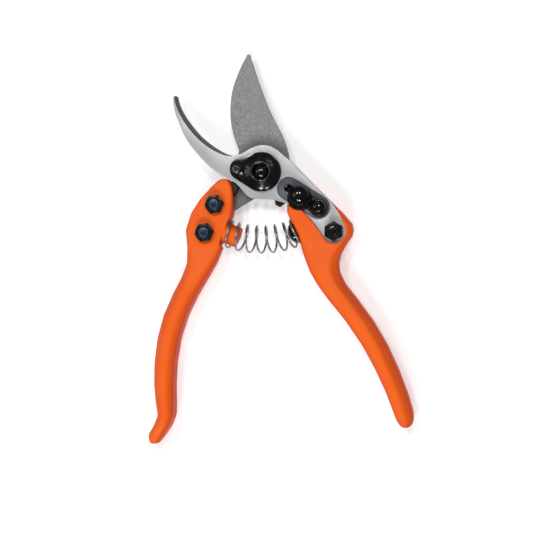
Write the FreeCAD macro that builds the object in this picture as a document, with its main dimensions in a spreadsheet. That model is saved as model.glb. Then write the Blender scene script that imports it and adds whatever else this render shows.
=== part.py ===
"""Bypass pruner: a cutting blade that passes a hooked counter-blade, with two handles, a bowed
return spring and a sliding thumb catch.

Frame: millimetres, +Z up. The tool lies flat with its jaws towards +Y, and the origin is on the
pivot's axis at the plane the tool rests on. It is modelled with its jaws fully open.
"""
import FreeCAD, Part
import math
import os

import Sketcher

from FreeCAD import Placement, Rotation, Vector

doc = FreeCAD.newDocument("bypass_pruner")

# ---------------------------------------------------------------------------------------------
# Driving dimensions
# ---------------------------------------------------------------------------------------------
SIZES = {
    # layers, from the resting plane up
    "blade_bottom": 5.2,
    "blade_thick": 3.4,
    "edge_thick": 0.5,
    "bevel_wide": 5.5,
    "counter_bottom": 8.62,
    "counter_thick": 5.18,
    "hook_bevel_deep": 3.4,
    "plate_thick": 1.6,
    "recess_deep": 1.0,
    # pivot
    "pivot_shank": 4.0,
    "blade_bore": 4.06,
    "pivot_head_flats": 16.0,
    "pivot_head_high": 3.6,
    "washer_radius": 9.6,
    "washer_high": 1.6,
    "heel_radius": 15.0,
    "heel_low_radius": 9.3,
    "eye_radius": 15.2,
    # lock plate
    "plate_radius": 11.3,
    "lobe_radius": 6.1,
    "nut_radius": 10.9,
    # hardware
    "handle_bolt_radius": 3.0,
    "nut_flats": 10.0,
    "nut_high": 3.6,
    "tang_screw_radius": 2.5,
    "tang_head_radius": 5.0,
    "plate_screw_radius": 1.5,
    # catch
    "catch_polar": -32.0,
    "catch_near": 18.4,
    "recess_radius": 6.8,
    "slot_half_width": 2.4,
    "button_radius": 6.7,
    "button_at": 25.6,
    "flange_shift": 1.2,
    "stem_radius": 2.05,
    "nose_half_width": 1.7,
    "nose_reach": 15.6,
    "leaf_thick": 0.5,
    # return spring
    "coil_wire": 1.25,
    "coil_radius": 7.65,
    "coil_turns": 8.0,
    "bow_radius": 54.1,
    "bow_middle_along": -1.15,
    "bow_middle_up": 15.6,
    "bow_half_angle": 22.9,
    "coil_level": 9.0,
    "stub_radius": 5.9,
    "stub_long": 8.5,
    "seat_long": 5.7,
    "seat_peg_radius": 3.0,
    "seat_peg_long": 5.0,
    "coil_room": 8.8,
}


def make_sheet(sizes: dict):
    """Put every driving dimension in a sheet cell with its own alias."""
    sheet = doc.addObject("Spreadsheet::Sheet", "Sizes")
    for row, (alias, value) in enumerate(sizes.items(), start=1):
        sheet.set(f"A{row}", alias)
        sheet.set(f"B{row}", str(value))
        sheet.setAlias(f"B{row}", alias)
    doc.recompute()
    return sheet


make_sheet(SIZES)


def size(alias: str) -> float:
    """The value of a driving dimension."""
    return SIZES[alias]


def cell(alias: str) -> str:
    """The expression that reads a driving dimension from the sheet."""
    return f"Sizes.{alias}"


COUNTER_TOP = f"{cell('counter_bottom')} + {cell('counter_thick')}"
COUNTER_TOP_Z = size("counter_bottom") + size("counter_thick")
PLATE_TOP = f"{COUNTER_TOP} + {cell('plate_thick')}"
PLATE_TOP_Z = COUNTER_TOP_Z + size("plate_thick")
RECESS_FLOOR = f"{COUNTER_TOP} - {cell('recess_deep')}"
RECESS_FLOOR_Z = COUNTER_TOP_Z - size("recess_deep")
HANDLE_FRONT_Z = 15.0
PARTS = []


# ---------------------------------------------------------------------------------------------
# Outline helpers: an outline is a list of Part curves that join end to end
# ---------------------------------------------------------------------------------------------
def polar(radius: float, degrees: float):
    """A point at a radius and an angle about the origin."""
    angle = math.radians(degrees)
    return (radius * math.cos(angle), radius * math.sin(angle))


def line(start, end):
    """A straight stretch."""
    return Part.LineSegment(Vector(*start, 0), Vector(*end, 0))


def curve(points):
    """A smooth stretch through the points."""
    spline = Part.BSplineCurve()
    spline.interpolate([Vector(x, y, 0) for x, y in points])
    return spline


def arc(centre, start, end, through):
    """A round stretch from start to end by way of through; centre is where it is measured from."""
    shifted = [Vector(centre[0] + x, centre[1] + y, 0) for x, y in (start, through, end)]
    return Part.Arc(*shifted)


def dome(radius: float, level: float, top: float):
    """Half a round cap's profile, from its rim in to its crown on the axis."""
    rise = top - level
    ball = (radius * radius + rise * rise) / (2 * rise)
    half = math.asin(radius / ball) / 2
    through = Vector(ball * math.sin(half), top - ball + ball * math.cos(half), 0)
    return Part.Arc(Vector(radius, level, 0), through, Vector(0, top, 0))


def pivot_arc(radius: float, first: float, last: float):
    """A round stretch about the pivot between two angles."""
    return arc((0, 0), polar(radius, first), polar(radius, last), polar(radius, (first + last) / 2))


def closed(points):
    """Straight stretches round a ring of points."""
    return [line(a, b) for a, b in zip(points, points[1:] + points[:1])]


def regular(sides: int, flats: float, turn: float = 0.0):
    """A regular polygon by its distance across flats."""
    corner = flats / 2 / math.cos(math.pi / sides)
    return closed([polar(corner, turn + 360 / sides * k) for k in range(sides)])


def capsule(start, end, radius: float):
    """A straight slot's outline with round ends about two points."""
    angle = math.degrees(math.atan2(end[1] - start[1], end[0] - start[0]))
    side = [polar(radius, angle + 90), polar(radius, angle - 90)]
    forward, back = polar(radius, angle), polar(radius, angle + 180)

    def at(centre, offset):
        return (centre[0] + offset[0], centre[1] + offset[1])

    return [
        line(at(start, side[0]), at(end, side[0])),
        arc(end, side[0], side[1], forward),
        line(at(end, side[1]), at(start, side[1])),
        arc(start, side[1], side[0], back),
    ]


# ---------------------------------------------------------------------------------------------
# A sub-part: a PartDesign body built feature by feature
# ---------------------------------------------------------------------------------------------
class Piece:
    """One sub-part of the tool, whose label names its file."""

    def __init__(self, name: str, at=(0.0, 0.0), turn: float = 0.0):
        self.name = name
        self.body = doc.addObject("PartDesign::Body", name)
        self.body.Label = name
        self.body.Placement = Placement(Vector(at[0], at[1], 0), Rotation(Vector(0, 0, 1), turn))
        self.steps = 0
        PARTS.append(self.body)

    def _label(self, kind: str) -> str:
        self.steps += 1
        return f"{self.name}_{kind}_{self.steps}"

    def sketch(self, curves, plane: str = "XY_Plane", level: str = "0"):
        """Draw curves on one of the body's own planes, lifted to a level."""
        drawn = self.body.newObject("Sketcher::SketchObject", self._label("sketch"))
        support = next(f for f in self.body.Origin.OriginFeatures if f.Role == plane)
        drawn.AttachmentSupport = (support, [""])
        drawn.MapMode = "FlatFace"
        for item in curves:
            drawn.addGeometry(item, False)
        drawn.setExpression("AttachmentOffset.Base.z", level)
        doc.recompute()
        return drawn

    def pad(self, curves, bottom: str, high: str):
        """Add material from a level upwards."""
        pad = self.body.newObject("PartDesign::Pad", self._label("pad"))
        pad.Profile = self.sketch(curves, level=bottom)
        pad.setExpression("Length", high)
        doc.recompute()
        return pad

    def round_pad(self, alias: str, bottom: str, high: str, at=(0.0, 0.0)):
        """Add a round boss whose radius is a cell of the sheet."""
        return self._round("PartDesign::Pad", alias, bottom, high, at)

    def round_hole(self, alias: str, top: str, deep: str, at=(0.0, 0.0)):
        """Cut a round hole downwards from a level."""
        return self._round("PartDesign::Pocket", alias, top, deep, at)

    def _round(self, kind: str, alias: str, level: str, length: str, at):
        drawn = self.sketch([Part.Circle(Vector(*at, 0), Vector(0, 0, 1), size(alias))], level=level)
        drawn.addConstraint(Sketcher.Constraint("Radius", 0, size(alias)))
        drawn.setExpression("Constraints[0]", cell(alias))
        feature = self.body.newObject(kind, self._label("round"))
        feature.Profile = drawn
        feature.setExpression("Length", length)
        doc.recompute()
        return feature

    def pocket(self, curves, top: str, deep: str):
        """Cut downwards from a level, and check that something was cut."""
        before = self.body.Shape.Volume
        pocket = self.body.newObject("PartDesign::Pocket", self._label("pocket"))
        pocket.Profile = self.sketch(curves, level=top)
        pocket.setExpression("Length", deep)
        doc.recompute()
        if self.body.Shape.Volume > before - 0.01:
            raise RuntimeError(f"{pocket.Name} cut nothing")
        return pocket

    def turned(self, profile, kind: str = "PartDesign::Revolution"):
        """Turn a closed profile of (radius, level) points about the body's upright axis."""
        feature = self.body.newObject(kind, self._label("turned"))
        drawn = self.sketch(profile, plane="XZ_Plane")
        feature.Profile = drawn
        feature.ReferenceAxis = (drawn, ["V_Axis"])
        feature.Angle = 360
        doc.recompute()
        return feature

    def chamfer_corners(self, flats: float, top: float, drop: float):
        """Turn the sharp top corners of a hexagonal head down to a cone."""
        corner = flats / math.sqrt(3) + 0.4
        cut = closed([(flats / 2 * 0.97, top), (corner, top - drop * 1.6), (corner, top + 0.5),
                      (flats / 2 * 0.97, top + 0.5)])
        return self.turned(cut, "PartDesign::Groove")


def cross_outline(arm: float, half_width: float):
    """A four-armed driver recess."""
    a, w = arm, half_width
    return closed([(a, w), (w, w), (w, a), (-w, a), (-w, w), (-a, w), (-a, -w), (-w, -w),
                   (-w, -a), (w, -a), (w, -w), (a, -w)])


# ---------------------------------------------------------------------------------------------
# Places that several sub-parts share
# ---------------------------------------------------------------------------------------------
UPPER_NUT_AT = (-27.0, -18.5)
LOWER_NUT_AT = (-32.9, -34.5)
TAIL_AT = (41.7, -34.0)
TANG_SCREW_AT = polar(38.6, size("catch_polar"))
PLATE_SCREW_AT = (-14.3, 1.6)
LOBE_AT = (-12.3, 1.7)
NUT_TURN = 7.0
COIL_START = math.radians(-60)


BLADE_EDGE = [(-9.9, 66.3), (-12.2, 62.3), (-15.4, 55.2), (-17.9, 48.0), (-19.25, 39.0), (-18.9, 28.1),
              (-17.0, 20.3), (-14.2, 12.6)]


def cutting_blade_outline():
    """The blade in plan: rounded tip, convex edge, tang to the left, heel with the lock's notch."""
    heel, low = size("heel_radius"), size("heel_low_radius")
    edge = BLADE_EDGE
    neck = [(-14.2, 12.6), (-14.9, 6.0), (-15.2, 0.0), (-16.6, -4.5), (-22.5, -9.8), (-32.6, -17.6),
            (-38.6, -28.5)]
    lower = [(-26.2, -36.9), (-24.4, -29.0), (-15.7, -20.9), (-6.4, -15.4)]
    back = [polar(low, 10), (14.9, 4.2), (14.1, 11.0), (10.7, 20.8), (4.1, 33.6), (-1.2, 46.6),
            (-4.7, 56.4), (-7.6, 65.8)]
    return [
        curve(edge),
        curve(neck),
        Part.Arc(Vector(*neck[-1], 0), Vector(-34.6, -41.4, 0), Vector(*lower[0], 0)),
        curve(lower),
        line(lower[-1], polar(heel, -107)),
        pivot_arc(heel, -107, -85.5),
        line(polar(heel, -85.5), polar(low, -88)),
        pivot_arc(low, -88, -60),
        line(polar(low, -60), polar(heel, -62.5)),
        pivot_arc(heel, -62.5, -50),
        line(polar(heel, -50), polar(low, -50)),
        pivot_arc(low, -50, 10),
        line(back[0], back[1]),
        curve(back[1:]),
        Part.Arc(Vector(*back[-1], 0), Vector(-8.8, 67.6, 0), Vector(*edge[0], 0)),
    ]


def make_cutting_blade():
    """Plate blade, ground from behind along its convex edge."""
    blade = Piece("cutting_blade")
    top = f"{cell('blade_bottom')} + {cell('blade_thick')}"
    blade.pad(cutting_blade_outline(), cell("blade_bottom"), cell("blade_thick"))
    blade.round_hole("blade_bore", top, cell("blade_thick"))
    for spot in (UPPER_NUT_AT, LOWER_NUT_AT):
        blade.round_hole("handle_bolt_radius", top, cell("blade_thick"), spot)
    wide = size("bevel_wide")
    wedge = edge_wedge("edge_grind", BLADE_EDGE,
                       [(share, wide) for share in (0.0, 0.08, 0.2, 0.35, 0.5, 0.65, 0.8, 0.93)],
                       size("blade_bottom"), size("blade_thick") - size("edge_thick"), 1)
    return register(combine("Part::Cut", "cutting_blade_ground", blade.body, wedge),
                    "cutting_blade")


def edge_wedge(name: str, points, stations, level: float, rise: float, side: int):
    """A grinding wheel's path along an edge: wedge sections joined up.

    Each station is (share of the edge, width of the bevel). The bevel rises from the flat face at
    level by rise out to the edge. Side is 1 where the wheel works on the right of the edge's run.
    """
    edge = curve(points)
    first, last = edge.FirstParameter, edge.LastParameter
    beyond, lead, away = 1.5, 3.0, math.copysign(1.0, rise)
    sections = []
    for share, wide in stations:
        at = first + (last - first) * share
        place, along = edge.value(at), edge.tangent(at)[0]
        if share == 0.0:
            place -= along * lead
        outward, slope = Vector(along.y, -along.x, 0) * side, rise / wide
        corners = [place + outward * out + Vector(0, 0, z) for out, z in (
            (beyond, level - away), (beyond, level + rise + slope * beyond),
            (-wide - 1 / abs(slope), level - away))]
        sections.append(Part.makePolygon(corners + corners[:1]))
    solid = Part.makeLoft(sections, True, False)
    if solid.Volume < 0:
        solid.reverse()
    wedge = doc.addObject("Part::Feature", name)
    wedge.Shape = solid
    return wedge


HOOK_INNER = [(-49.8, 43.0), (-46.8, 34.9), (-42.3, 28.1), (-36.5, 21.3), (-27.9, 14.4), (-22.0, 11.0),
              (-16.9, 9.5), (-12.7, 10.1), (-9.6, 11.6)]


def counter_blade_outline():
    """The counter-blade in plan: hook, round eye about the pivot, long flank and round tail."""
    hook_outer = [(-51.8, 43.0), (-50.8, 34.9), (-48.2, 28.1), (-45.3, 21.3), (-40.7, 14.4),
                  (-34.8, 7.6), (-27.0, 0.7), (-19.2, -3.7), (-15.35, -6.2), (-12.0, -9.4),
                  (-9.2, -12.7), (-5.9, -14.9), (-2.6, -15.35), (3.0, -15.5), (8.6, -16.5),
                  (15.25, -18.4), (21.6, -20.8)]
    flank_lower = [(21.6, -20.8), (25.2, -23.9), (28.7, -27.8), (32.55, -32.8), (35.9, -37.3)]
    flank_upper = [(47.9, -31.9), (46.1, -27.1), (42.25, -20.8), (39.2, -16.9), (34.3, -12.2),
                   (28.5, -6.3), (22.4, -0.3), (16.6, 5.8), (12.2, 9.6), (7.4, 13.3), (1.3, 15.2),
                   (-4.2, 14.3), (-9.6, 11.6)]
    hook_inner = HOOK_INNER[::-1]
    return [
        curve(hook_outer),
        curve(flank_lower),
        Part.Arc(Vector(*flank_lower[-1], 0), Vector(44.4, -40.2, 0), Vector(*flank_upper[0], 0)),
        curve(flank_upper),
        curve(hook_inner),
        Part.Arc(Vector(*hook_inner[-1], 0), Vector(-50.8, 44.2, 0), Vector(*hook_outer[0], 0)),
    ]


def make_counter_blade():
    """Forged hook and flank with the catch's recess and slot."""
    blade = Piece("counter_blade")
    blade.pad(counter_blade_outline(), cell("counter_bottom"), cell("counter_thick"))
    direction = size("catch_polar")
    blade.pocket(capsule(polar(size("catch_near"), direction), TANG_SCREW_AT, size("recess_radius")),
                 COUNTER_TOP, cell("recess_deep"))
    travel_start, travel_end = 17.9, size("button_at") + 0.4
    blade.pocket(capsule(polar(travel_start, direction), polar(travel_end, direction),
                         size("slot_half_width")), COUNTER_TOP, cell("counter_thick"))
    for alias, spot in (("pivot_shank", (0, 0)), ("handle_bolt_radius", TAIL_AT),
                        ("tang_screw_radius", TANG_SCREW_AT), ("plate_screw_radius", PLATE_SCREW_AT)):
        blade.round_hole(alias, COUNTER_TOP, cell("counter_thick"), spot)
    stations = [(0.0, 1.2), (0.12, 1.7), (0.3, 2.0), (0.5, 2.0), (0.65, 1.8), (0.78, 1.2), (0.86, 0.5)]
    wedge = edge_wedge("hook_grind", HOOK_INNER, stations, COUNTER_TOP_Z,
                       -size("hook_bevel_deep"), -1)
    return register(combine("Part::Cut", "counter_blade_ground", blade.body, wedge),
                    "counter_blade")


# ---------------------------------------------------------------------------------------------
# Handles: straight-sided sections across the tool, at stations down the handle
# ---------------------------------------------------------------------------------------------
# each station: (y, inner x, outer x, underside z, front z, bevel)
BLADE_HANDLE_STATIONS = [
    (-3.9, -20.3, -24.1, 5.2, 14.0, 0.6),
    (-5.4, -18.6, -26.4, 5.2, 14.6, 1.0),
    (-7.4, -17.6, -28.7, 5.2, 15.0, 1.2),
    (-9.8, -17.0, -31.0, 5.2, 15.0, 1.2),
    (-15.0, -16.6, -35.9, 5.2, 15.0, 1.3),
    (-23.0, -17.0, -41.4, 5.2, 15.0, 1.4),
    (-33.0, -20.0, -44.8, 5.2, 15.0, 1.6),
    (-43.0, -23.3, -44.0, 5.0, 15.0, 2.0),
    (-52.0, -27.2, -44.3, 2.6, 16.4, 3.0),
    (-60.0, -32.1, -47.4, 1.0, 17.4, 3.6),
    (-70.0, -38.2, -52.7, 0.2, 18.0, 3.9),
    (-82.0, -44.3, -58.1, 0.0, 18.0, 3.9),
    (-95.0, -48.7, -61.6, 0.0, 18.0, 3.8),
    (-109.0, -51.1, -63.4, 0.0, 18.0, 3.7),
    (-122.0, -51.8, -63.6, 0.0, 18.0, 3.6),
    (-132.0, -51.7, -62.5, 0.0, 18.0, 3.5),
    (-139.5, -51.9, -61.1, 0.0, 17.8, 3.3),
    (-146.0, -54.4, -64.0, 0.4, 17.2, 3.2),
    (-151.0, -57.6, -67.5, 1.6, 16.0, 3.0),
    (-156.2, -61.6, -66.6, 4.0, 13.6, 1.6),
]
HOOK_HANDLE_STATIONS = [
    (-3.0, 22.7, 23.7, 3.0, 11.2, 0.3),
    (-6.2, 21.0, 27.6, 3.0, 12.2, 0.8),
    (-12.9, 17.4, 34.7, 3.0, 13.4, 1.2),
    (-18.6, 14.4, 40.5, 3.0, 14.4, 1.3),
    (-23.2, 14.6, 45.5, 3.0, 15.0, 1.4),
    (-29.6, 17.2, 51.1, 3.0, 15.0, 1.8),
    (-33.5, 18.9, 52.1, 3.0, 15.1, 2.0),
    (-37.2, 20.6, 51.1, 3.0, 15.1, 2.2),
    (-41.0, 21.9, 48.3, 3.0, 15.3, 2.4),
    (-47.1, 23.9, 44.8, 2.0, 16.2, 2.8),
    (-52.3, 25.7, 43.6, 1.4, 16.8, 3.1),
    (-57.4, 27.8, 44.4, 0.9, 17.3, 3.5),
    (-64.2, 31.8, 47.9, 0.4, 17.8, 3.8),
    (-71.1, 36.8, 53.5, 0.1, 18.0, 3.9),
    (-84.8, 48.0, 63.7, 0.0, 18.0, 3.9),
    (-98.4, 57.4, 71.7, 0.0, 18.0, 3.8),
    (-112.1, 65.0, 78.0, 0.0, 18.0, 3.7),
    (-125.8, 71.4, 83.2, 0.0, 18.0, 3.5),
    (-136.0, 75.2, 86.2, 0.2, 17.6, 3.3),
    (-140.6, 76.9, 86.4, 1.2, 16.6, 2.8),
    (-143.6, 78.7, 85.0, 3.0, 14.6, 1.8),
    (-144.9, 80.2, 83.6, 5.2, 12.4, 0.8),
]
BROAD_BEVEL = 1.35


def handle_section(inner: float, outer: float, low: float, high: float, bevel: float):
    """An eight-sided section whose bevels are broader on the outer side."""
    side = 1.0 if outer > inner else -1.0
    across = abs(outer - inner)
    fine = min(bevel, 0.3 * across)
    broad = min(bevel * BROAD_BEVEL, 0.4 * across)
    return closed([
        (inner, low + fine), (inner + side * fine, low), (outer - side * broad, low),
        (outer, low + broad), (outer, high - broad), (outer - side * broad, high),
        (inner + side * fine, high), (inner, high - fine),
    ])


def make_handle(name: str, stations):
    """Join the stations' sections into one solid handle."""
    handle = Piece(name)
    drawn = [handle.sketch(handle_section(*station[1:]), "XZ_Plane", f"{-station[0]}")
             for station in stations]
    loft = handle.body.newObject("PartDesign::AdditiveLoft", f"{name}_loft")
    loft.Profile = drawn[0]
    loft.Sections = drawn[1:]
    loft.Ruled = True
    doc.recompute()
    return handle


def spring_seat_place(side: float):
    """Where a spring end sits and which way it looks: (place, direction in degrees)."""
    half = math.radians(size("bow_half_angle"))
    x = size("bow_middle_along") + side * size("bow_radius") * math.sin(half)
    y = size("bow_middle_up") - size("bow_radius") * math.cos(half)
    direction = -size("bow_half_angle") if side < 0 else 180.0 + size("bow_half_angle")
    return (x, y), direction


def lying_cylinder(name: str, radius_cell: str, long: str, side: float, start: float = 0.0):
    """A cylinder along the spring's axis at one of its ends, starting a little before the seat."""
    (x, y), direction = spring_seat_place(side)
    dx, dy = polar(start, direction)
    tube = doc.addObject("Part::Cylinder", name)
    tube.setExpression("Radius", radius_cell)
    tube.setExpression("Height", long)
    level = size("coil_level")
    turn = Rotation(Vector(0, 0, 1), direction) * Rotation(Vector(0, 1, 0), 90)
    tube.Placement = Placement(Vector(x + dx, y + dy, level), turn)
    return tube


def combine(kind: str, label: str, base, tool):
    """A Part boolean of two objects, kept as a feature of its own."""
    result = doc.addObject(kind, label)
    result.Base = base
    result.Tool = tool
    doc.recompute()
    return result


def prism(name: str, curves, bottom: float, high: float):
    """An upright solid with an outline."""
    wire = Part.Wire([item.toShape() for item in curves])
    solid = doc.addObject("Part::Feature", name)
    solid.Shape = Part.Face(wire).extrude(Vector(0, 0, high))
    solid.Placement = Placement(Vector(0, 0, bottom), Rotation())
    return solid


def register(result, label: str):
    """Give a finished boolean its sub-part's label and drop the body it was made from."""
    for body in [part for part in PARTS if part.Label == label]:
        body.Label = f"{label}_blank"
        PARTS.remove(body)
    result.Label = label
    PARTS.append(result)
    return result


def bolt_bore(name: str, radius: float, spot):
    """A through cutter for a bolt."""
    bore = doc.addObject("Part::Cylinder", name)
    bore.Radius = radius
    bore.Height = 30
    bore.Placement = Placement(Vector(*spot, -2), Rotation())
    return bore


def make_blade_handle():
    """Left handle: tang let into its back, stub for the spring, two bolt holes."""
    shape = make_handle("blade_handle", BLADE_HANDLE_STATIONS).body
    room = lying_cylinder("blade_coil_room", cell("coil_room"), "14", -1)
    shape = combine("Part::Cut", "blade_handle_seated", shape, room)
    stub = lying_cylinder("blade_stub", cell("stub_radius"), f"{cell('stub_long')} + 6", -1, -6.0)
    shape = combine("Part::Fuse", "blade_handle_stubbed", shape, stub)
    tang = prism("tang_room", cutting_blade_outline(), size("blade_bottom") - 3,
                 size("blade_thick") + 3.02)
    shape = combine("Part::Cut", "blade_handle_tanged", shape, tang)
    for tag, spot in (("upper", UPPER_NUT_AT), ("lower", LOWER_NUT_AT)):
        bore = bolt_bore(f"{tag}_handle_bore", size("handle_bolt_radius"), spot)
        shape = combine("Part::Cut", f"blade_handle_{tag}_bored", shape, bore)
    return register(shape, "blade_handle")


def make_hook_handle():
    """Right handle: the counter-blade's flank lies in its front, over a room for the catch."""
    shape = make_handle("hook_handle", HOOK_HANDLE_STATIONS).body
    bed = prism("flank_room", counter_blade_outline(), size("counter_bottom"), 12)
    shape = combine("Part::Cut", "hook_handle_bedded", shape, bed)
    direction = size("catch_polar")
    slide = prism("pawl_room", capsule(polar(10, direction), polar(29, direction), 6.2), 5.1, 4.0)
    shape = combine("Part::Cut", "hook_handle_slotted", shape, slide)
    thumb = prism("button_room", capsule(polar(18, direction), polar(26.0, direction), 8.1),
                  RECESS_FLOOR_Z, 8)
    shape = combine("Part::Cut", "hook_handle_thumbed", shape, thumb)
    room = lying_cylinder("hook_coil_room", cell("coil_room"), "14", 1)
    shape = combine("Part::Cut", "hook_handle_seated", shape, room)
    socket = lying_cylinder("seat_socket", cell("seat_peg_radius"), cell("seat_peg_long"), 1,
                            -size("seat_peg_long"))
    shape = combine("Part::Cut", "hook_handle_socketed", shape, socket)
    for tag, radius, spot in (("tail", size("handle_bolt_radius"), TAIL_AT),
                              ("tang", size("tang_screw_radius"), TANG_SCREW_AT)):
        bore = bolt_bore(f"{tag}_bore", radius, spot)
        shape = combine("Part::Cut", f"hook_handle_{tag}_bored", shape, bore)
    return register(shape, "hook_handle")


# ---------------------------------------------------------------------------------------------
# Pivot stack
# ---------------------------------------------------------------------------------------------
def make_pivot():
    """Bolt from behind, washer, lock plate and dished nut in front."""
    bolt = Piece("pivot_bolt")
    bolt.pad(regular(6, size("pivot_head_flats"), 12), "0", cell("pivot_head_high"))
    shank = size("pivot_shank") - 0.02
    bolt.turned([line((0, 0.5), (shank, 0.5)), line((shank, 0.5), (shank, 17.4)),
                 dome(shank, 17.4, 19.1),
                 line((0, 19.1), (0, 0.5))])

    washer = Piece("pivot_washer")
    washer.round_pad("washer_radius", cell("pivot_head_high"), cell("washer_high"))
    washer.round_hole("pivot_shank", f"{cell('pivot_head_high')} + {cell('washer_high')}",
                      cell("washer_high"))

    plate = Piece("lock_plate")
    plate.pad(teardrop_outline(), COUNTER_TOP, cell("plate_thick"))
    plate.round_hole("pivot_shank", PLATE_TOP, cell("plate_thick"))
    plate.round_hole("plate_screw_radius", PLATE_TOP, cell("plate_thick"), PLATE_SCREW_AT)

    nut = Piece("pivot_nut")
    rim, bore, base = size("nut_radius"), size("pivot_shank"), PLATE_TOP_Z
    nut.turned(closed([(bore, base), (rim, base), (rim, base + 0.7), (rim - 1.2, base + 1.5),
                       (6.3, base + 2.5), (5.9, base + 3.5), (5.2, base + 3.6), (4.7, base + 3.3),
                       (bore, base + 2.3)]))

    screw = Piece("lock_plate_screw", PLATE_SCREW_AT, 20)
    thread = size("plate_screw_radius")
    screw.turned([line((0, 9.6), (thread, 9.6)), line((thread, 9.6), (thread, PLATE_TOP_Z)),
                  line((thread, PLATE_TOP_Z), (2.85, PLATE_TOP_Z)),
                  line((2.85, PLATE_TOP_Z), (2.85, PLATE_TOP_Z + 0.7)),
                  dome(2.85, PLATE_TOP_Z + 0.7, PLATE_TOP_Z + 1.8),
                  line((0, PLATE_TOP_Z + 1.8), (0, 9.6))])
    screw.pocket(cross_outline(1.5, 0.35), f"{PLATE_TOP} + 2", "1.2")


def teardrop_outline():
    """Two circles joined by their outer tangents: the round plate and its screw lobe."""
    big, small = size("plate_radius"), size("lobe_radius")
    reach = math.hypot(*LOBE_AT)
    facing = math.degrees(math.atan2(LOBE_AT[1], LOBE_AT[0]))
    lean = math.degrees(math.acos((big - small) / reach))

    def lobe(angle):
        x, y = polar(small, angle)
        return (LOBE_AT[0] + x, LOBE_AT[1] + y)

    return [
        line(lobe(facing - lean), polar(big, facing - lean)),
        pivot_arc(big, facing - lean, facing + lean - 360),
        line(polar(big, facing + lean), lobe(facing + lean)),
        Part.Arc(Vector(*lobe(facing + lean), 0), Vector(*lobe(facing), 0),
                 Vector(*lobe(facing - lean), 0)),
    ]


# ---------------------------------------------------------------------------------------------
# Bolts, nuts and screws
# ---------------------------------------------------------------------------------------------
def make_nut(name: str, at, bottom: float, turn: float):
    """Hexagonal nut with turned-down corners."""
    nut = Piece(name, at, turn)
    nut.pad(regular(6, size("nut_flats")), f"{bottom}", cell("nut_high"))
    nut.chamfer_corners(size("nut_flats"), bottom + size("nut_high"), 0.8)
    nut.round_hole("handle_bolt_radius", f"{bottom} + {cell('nut_high')}", cell("nut_high"))


def make_bolt(name: str, at, head_bottom: float, head_high: float, top: float, turn: float):
    """Hexagonal bolt that stands up through the tool, with a domed thread end."""
    bolt = Piece(name, at, turn)
    bolt.pad(regular(6, size("nut_flats")), f"{head_bottom}", f"{head_high}")
    bolt.round_pad("handle_bolt_radius", f"{head_bottom + head_high}",
                   f"{top - head_bottom - head_high}")


def make_handle_fixings():
    """Two bolts and nuts for the blade's handle, bolt, screw and nuts for the other."""
    for tag, spot in (("upper", UPPER_NUT_AT), ("lower", LOWER_NUT_AT)):
        make_bolt(f"{tag}_blade_bolt", spot, 2.2, 3.0, 18.9, NUT_TURN)
        make_nut(f"{tag}_blade_nut", spot, HANDLE_FRONT_Z, NUT_TURN)
    make_bolt("tail_bolt", TAIL_AT, 0.5, 2.5, 17.8, 30)
    make_nut("tail_nut", TAIL_AT, COUNTER_TOP_Z, 30)

    screw = Piece("tang_screw", TANG_SCREW_AT)
    shank, head = size("tang_screw_radius"), size("tang_head_radius")
    base = RECESS_FLOOR_Z + size("leaf_thick")
    screw.turned([line((0, 0.9), (shank, 0.9)), line((shank, 0.9), (shank, base)),
                  line((shank, base), (head + 0.2, base)), line((head + 0.2, base), (head + 0.2, base + 1)),
                  line((head + 0.2, base + 1), (head, base + 1.6)),
                  dome(head, base + 1.6, base + 5.1),
                  line((0, base + 5.1), (0, 0.9))])
    reach, half_slot = head + 1.0, 0.6
    screw.pocket(closed([(-half_slot, -reach), (half_slot, -reach), (half_slot, reach),
                         (-half_slot, reach)]), f"{base + 5.4}", "2.2")

    back_nut = Piece("tang_screw_nut", TANG_SCREW_AT, 10)
    back_nut.pad(regular(6, 9.0), "0.6", "2.4")
    back_nut.round_hole("tang_screw_radius", "3.0", "2.4")


# ---------------------------------------------------------------------------------------------
# Thumb catch
# ---------------------------------------------------------------------------------------------
def make_catch():
    """Button in front, stem through the slot, pawl behind the counter-blade."""
    direction = size("catch_polar")
    place = polar(size("button_at"), direction)
    floor = RECESS_FLOOR_Z + size("leaf_thick") + 0.1

    button = Piece("thumb_button", place)
    flange, knob, shift = size("button_radius"), 5.5, size("flange_shift")
    button.round_pad("button_radius", f"{COUNTER_TOP} + 0.1", "1.6", (0.0, -shift))
    button.turned([line((0, floor), (knob + 0.3, floor)),
                   line((knob + 0.3, floor), (knob + 0.3, floor + 2.4)),
                   line((knob + 0.3, floor + 2.4), (knob, floor + 3.2)),
                   dome(knob, floor + 3.2, floor + 5.9),
                   line((0, floor + 5.9), (0, floor))])

    stem = Piece("catch_stem", place, direction)
    stem.round_pad("stem_radius", "8.45", f"{floor} - 8.45")

    pawl = Piece("catch_pawl", (0, 0), direction)
    tip, neck, root, back = size("nose_reach"), 21.7, 22.4, 30.2
    half, full, wide = size("nose_half_width"), 2.3, 4.6
    pawl.pad(closed([(tip, -half), (tip + 1.4, -full), (neck, -full), (root, -wide), (back, -wide),
                     (back, wide), (root, wide), (neck, full), (tip + 1.4, full), (tip, half)]),
             "5.45", "3.0")


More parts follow.
